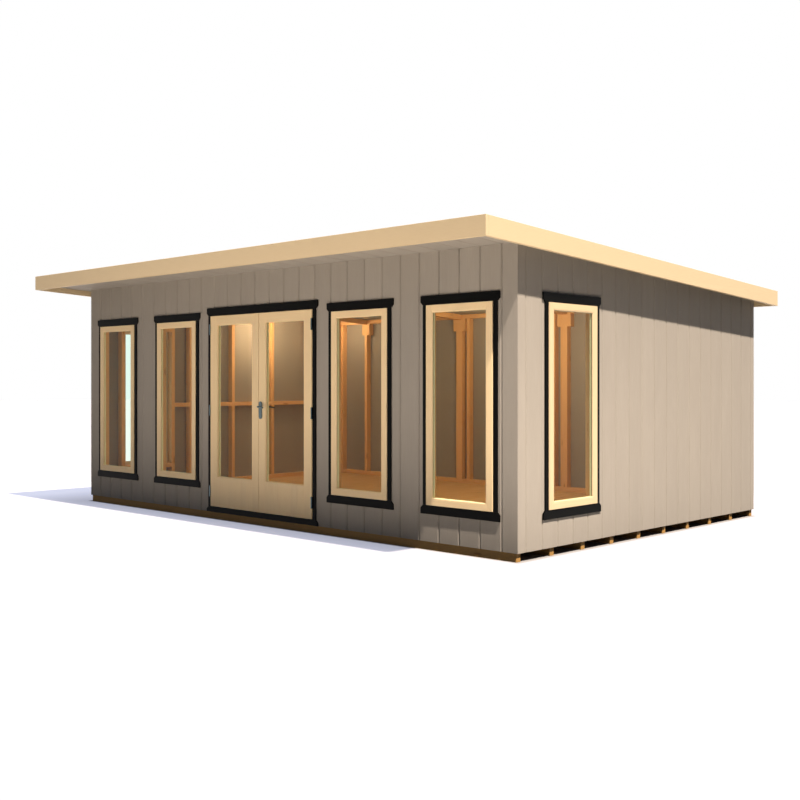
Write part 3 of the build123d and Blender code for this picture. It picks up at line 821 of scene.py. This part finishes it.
def handle_screws():
    """Two domed screws in each handle plate, on its middle line."""
    low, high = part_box("handle_plates")
    middle = (low.x + high.x) / 2
    shapes = [
        turned_button((middle, y, z), (0, way, 0), screw_profile)
        for y, way in ((low.y, -1), (high.y, 1))
        for z in (low.z + screw_inset, high.z - screw_inset)
    ]
    screws = put("handle_plate_screws", shapes, steel, "right_door")
    screws.data.shade_smooth()
    screws.data.set_sharp_from_angle(angle=sharp_angle)


boarded_walls()
deck_and_covering()
floor_covering()
windows()
door_leaf("left", -1, "left_door")
door_leaf("right", 1, "right_door")
handle_screws()

# Nodes whose CAD shape is right: timbers, steel fittings and panes
for finish, slot, ease, nodes in (
    (bearer_wood, "bearer_timber", middle_ease, ("floor_bearers",)),
    (sawn, "frame_timber", broad_ease, (
        "front_studs", "front_rails", "door_lintel", "left_studs", "left_rails", "right_studs",
        "right_rails", "back_studs", "back_rails", "beam_posts", "roof_beams",
    )),
    (planed_pale, "fascia_timber", broad_ease, (
        "fascia_front", "fascia_back", "fascia_left", "fascia_right",
    )),
    (black_paint, "black_trim", broad_ease, (
        "front_window_trims", "left_window_trims", "right_window_trims", "door_trims", "door_threshold",
    )),
    (joinery, "joinery_timber", middle_ease, ("door_lining", "door_sill")),
):
    for node in nodes:
        dressed_copy(node + "_dressed", node, finish, "cabin", ease)

for node, body in (
    ("jamb_hinges", "cabin"),
    ("left_leaf_hinges", "left_door"),
    ("right_leaf_hinges", "right_door"),
    ("handle_plates", "right_door"),
    ("door_lever", "lever"),
):
    dressed_copy(node + "_dressed", node, steel, body, smooth=True)

for node in ("window_glass", "left_door_glass", "right_door_glass"):
    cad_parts[node].material_slots[0].material = pane_glass


def seen_directly(tree):
    """One for a ray from the camera, or one that metal or glass turns, and nought for light on the room."""
    rays = add_node(tree, "LightPath")
    seen = add_node(tree, "Math", {"operation": "MAXIMUM"}, {
        0: rays.outputs["Is Camera Ray"], 1: rays.outputs["Is Glossy Ray"],
    })
    seen = add_node(tree, "Math", {"operation": "MAXIMUM"}, {
        0: seen.outputs[0], 1: rays.outputs["Is Transmission Ray"],
    })
    return seen.outputs[0]


def thrown_back(tree, here, past):
    """How much light each place on the ground throws back on the room. Near the walls it is almost none.
    It is most in a strip beyond that, before the front and back and beside the ends, and falls off
    further out, to the left and to the back. A patch behind the room, and one at the back of its left
    side, throw back all. past is how far the place lies outside the walls along X and Y. Each ramp has
    its start and end in metres, and the shares there."""
    outside = add_node(tree, "SeparateXYZ", inputs={0: past})
    whole = add_node(tree, "SeparateXYZ", inputs={0: here})
    ramps = {
        name: add_node(tree, "MapRange", {"interpolation_type": "SMOOTHSTEP"}, {
            "Value": value, "From Min": start, "From Max": end, "To Min": low, "To Max": high,
        }).outputs[0]
        for name, value, start, end, low, high in (
            ("before", outside.outputs["Y"], 0.7, 1.3, 0.03, 1.0),
            ("beside", outside.outputs["X"], 0.3, 0.9, 0.0, 0.9),
            ("far before", outside.outputs["Y"], 3.3, 5.7, 1.0, 0.15),
            ("far beside", outside.outputs["X"], 1.4, 3.0, 1.0, 0.1),
            ("leftwards", whole.outputs["X"], -5.0, 3.0, 0.3, 1.0),
            ("backwards", whole.outputs["Y"], -2.6, 2.4, 1.0, 0.22),
            ("behind", whole.outputs["Y"], 2.3, 2.9, 0.0, 1.0),
            ("left of the right end", whole.outputs["X"], 2.4, 2.8, 1.0, 0.0),
            ("left", whole.outputs["X"], -3.7, -3.1, 1.0, 0.0),
            ("behind the front end", whole.outputs["Y"], -1.6, -1.0, 0.0, 1.0),
        )
    }
    strength = add_node(tree, "Math", {"operation": "MAXIMUM"}, {0: ramps["before"], 1: ramps["beside"]})
    for fade in ("far before", "far beside", "leftwards", "backwards"):
        strength = add_node(tree, "Math", {"operation": "MULTIPLY"}, {
            0: strength.outputs[0], 1: ramps[fade],
        })
    for one, other in (("behind", "left of the right end"), ("left", "behind the front end")):
        patch = add_node(tree, "Math", {"operation": "MULTIPLY"}, {0: ramps[one], 1: ramps[other]})
        strength = add_node(tree, "Math", {"operation": "MAXIMUM"}, {
            0: strength.outputs[0], 1: patch.outputs[0],
        })
    return strength.outputs[0]


def own_glow(tree, past):
    """How brightly the floor shines where it is seen: not under the room, most about a metre outside
    the walls, and less far off."""
    gap = add_node(tree, "VectorMath", {"operation": "LENGTH"}, {0: past}).outputs["Value"]
    open_air, brighter, far_off = [
        add_node(tree, "MapRange", inputs={
            "Value": gap, "From Min": start, "From Max": end, "To Min": low, "To Max": high,
        }).outputs[0]
        for start, end, low, high in (
            (0.0, 0.04, 0.0, 1.0),
            (0.0, 1.0, 1.4, 2.5),
            (1.3, 2.5, 1.0, 0.5),
        )
    ]
    glow = add_node(tree, "Math", {"operation": "MULTIPLY"}, {0: open_air, 1: brighter})
    glow = add_node(tree, "Math", {"operation": "MULTIPLY"}, {0: glow.outputs[0], 1: far_off})
    return glow.outputs[0]


def ground():
    """A pale floor that keeps the shadow. Where it is seen it is partly lit by itself, so that it is white.
    What it throws back on the room doesn't depend on that, and is told apart by place."""
    floor_reach = 60.0
    seen_colour = linear("#b2b2b2")
    throwing_colour = linear("#f8f8f8")
    glow_colour = linear("#e4e8ff")
    glow_share = 0.34
    black = (0.0, 0.0, 0.0, 1.0)
    material, tree = new_material("pale_floor")
    here = add_node(tree, "TexCoord").outputs["Object"]
    middle = (wall_low.y + back_high.y) / 2
    walls = (right_high.x, back_high.y - middle, 0.0)
    centred = add_node(tree, "VectorMath", {"operation": "SUBTRACT"}, {0: here, 1: (0.0, middle, 0.0)})
    away = add_node(tree, "VectorMath", {"operation": "ABSOLUTE"}, {0: centred.outputs[0]})
    past = add_node(tree, "VectorMath", {"operation": "SUBTRACT"}, {0: away.outputs[0], 1: walls})
    past = add_node(tree, "VectorMath", {"operation": "MAXIMUM"}, {0: past.outputs[0], 1: (0.0, 0.0, 0.0)})
    seen = seen_directly(tree)
    thrown = add_node(tree, "Mix", {"data_type": "RGBA"}, {
        "Factor": thrown_back(tree, here, past.outputs[0]), "A": black, "B": throwing_colour,
    })
    colour = add_node(tree, "Mix", {"data_type": "RGBA"}, {
        "Factor": seen, "A": thrown.outputs["Result"], "B": seen_colour,
    })
    matt = add_node(tree, "BsdfDiffuse", inputs={"Color": colour.outputs["Result"]})
    white = add_node(tree, "Emission", inputs={
        "Color": glow_colour, "Strength": own_glow(tree, past.outputs[0]),
    })
    share = add_node(tree, "Math", {"operation": "MULTIPLY"}, {0: seen, 1: glow_share})
    both = add_node(tree, "MixShader", inputs={0: share.outputs[0], 1: matt.outputs[0], 2: white.outputs[0]})
    add_node(tree, "OutputMaterial", inputs={"Surface": both.outputs[0]})
    mesh = bpy.data.meshes.new("pale_floor")
    square = [(x * floor_reach, y * floor_reach, 0) for x, y in ((-1, -1), (1, -1), (1, 1), (-1, 1))]
    mesh.from_pydata(square, [], [(0, 1, 2, 3)])
    mesh.materials.append(material)
    floor = bpy.data.objects.new("pale_floor", mesh)
    bpy.context.scene.collection.objects.link(floor)


def sky():
    """Soft bluish light from all round. The camera, glass and metal see it as plain white."""
    world = bpy.data.worlds.new("studio")
    world.use_nodes = True
    tree = world.node_tree
    tree.nodes.clear()
    soft = add_node(tree, "Background", inputs={"Color": linear("#c9d4f5"), "Strength": 0.10})
    white = add_node(tree, "Background", inputs={"Color": linear("#ffffff"), "Strength": 1.0})
    both = add_node(tree, "MixShader", inputs={
        0: seen_directly(tree), 1: soft.outputs[0], 2: white.outputs[0],
    })
    add_node(tree, "OutputWorld", inputs={"Surface": both.outputs[0]})
    bpy.context.scene.world = world


def lamp(name, kind, settings, location, aim=(0, 0, 1)):
    """One lamp. Aim points from what it lights back towards the lamp."""
    data = bpy.data.lights.new(name, kind)
    for key, value in settings.items():
        setattr(data, key, value)
    light = bpy.data.objects.new(name, data)
    light.location = location
    light.rotation_mode = "QUATERNION"
    light.rotation_quaternion = Vector(aim).to_track_quat("Z", "Y")
    light.visible_camera = False
    light.visible_glossy = False
    light.visible_transmission = False
    bpy.context.scene.collection.objects.link(light)


def camera():
    """The photograph's view: level, at chest height, turned a little over 44 degrees to the left."""
    data = bpy.data.cameras.new("view")
    data.lens = 48.18
    data.sensor_width = 36.0
    data.shift_x = 0.0339
    data.shift_y = -0.0226
    item = bpy.data.objects.new("view", data)
    item.location = (7.478, -7.854, 1.292)
    item.rotation_euler = (math.radians(90), 0, math.radians(44.45))
    bpy.context.scene.collection.objects.link(item)
    bpy.context.scene.camera = item


ground()
sky()

# A high sun in thin haze, the light that the ground throws up before the room, and small lamps
# under the ceiling
daylight = (1.0, 0.86, 0.74)
lamplight = (1.0, 0.72, 0.48)
ceiling_lamp_height = 1.97
ceiling_lamp_radius = 0.06
lamp("sun", "SUN", {"energy": 9.4, "angle": math.radians(1.5), "color": daylight},
     location=(0, 0, 10), aim=(0.51, -0.119, 1))
lamp("front_fill", "AREA", {
    "shape": "RECTANGLE", "size": 7.0, "size_y": 3.0, "energy": 50, "color": daylight,
}, location=(1.2, -4.6, 0.02), aim=(0, 0, -1))
for name, energy, x, y in (
    ("left_front", 8, -1.9, 0.0),
    ("left_wall", 20, -2.5, 0.6),
    ("left_back", 6, -2.5, 1.7),
    ("middle", 7, -0.1, 1.4),
    ("right", 49, 1.2, 0.7),
):
    lamp("ceiling_lamp_" + name, "POINT", {
        "shadow_soft_size": ceiling_lamp_radius, "energy": energy, "color": lamplight,
    }, location=(x, y, ceiling_lamp_height))
camera()
bpy.context.scene.view_settings.view_transform = "Standard"
